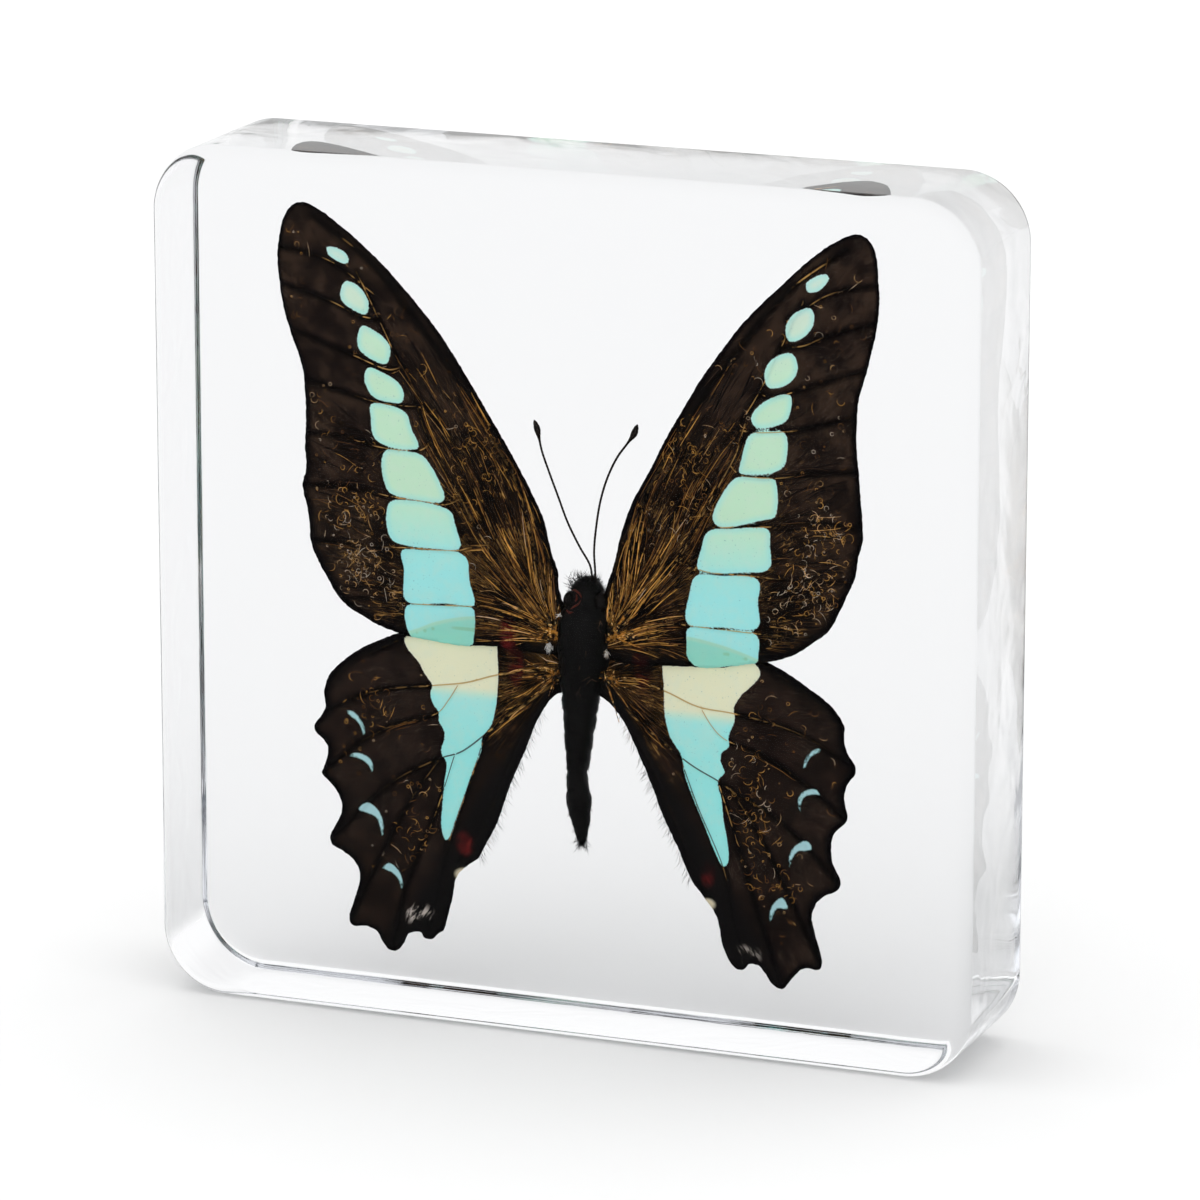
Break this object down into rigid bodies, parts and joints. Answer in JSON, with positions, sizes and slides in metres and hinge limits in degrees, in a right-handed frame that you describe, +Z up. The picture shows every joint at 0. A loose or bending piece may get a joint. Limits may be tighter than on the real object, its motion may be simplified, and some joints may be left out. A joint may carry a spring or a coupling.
{
  "type": "insect in resin block",
  "caption": "Clear resin slab with rounded corners, standing on its edge, with a spread blue-banded butterfly sealed inside as a display piece.",
  "frame": {"origin": "centre of the flat bottom edge face that the block stands on", "axes": "+Z up along the block's height, +Y from the front face to the back through its thickness, +X to the right as seen from the front"},
  "size_m": [0.075, 0.015, 0.076],
  "materials": {
    "clear_resin": "polished clear casting resin"
  },
  "bodies": {
    "root": {"resin_block": "clear_resin"}
  },
  "joints": []
}
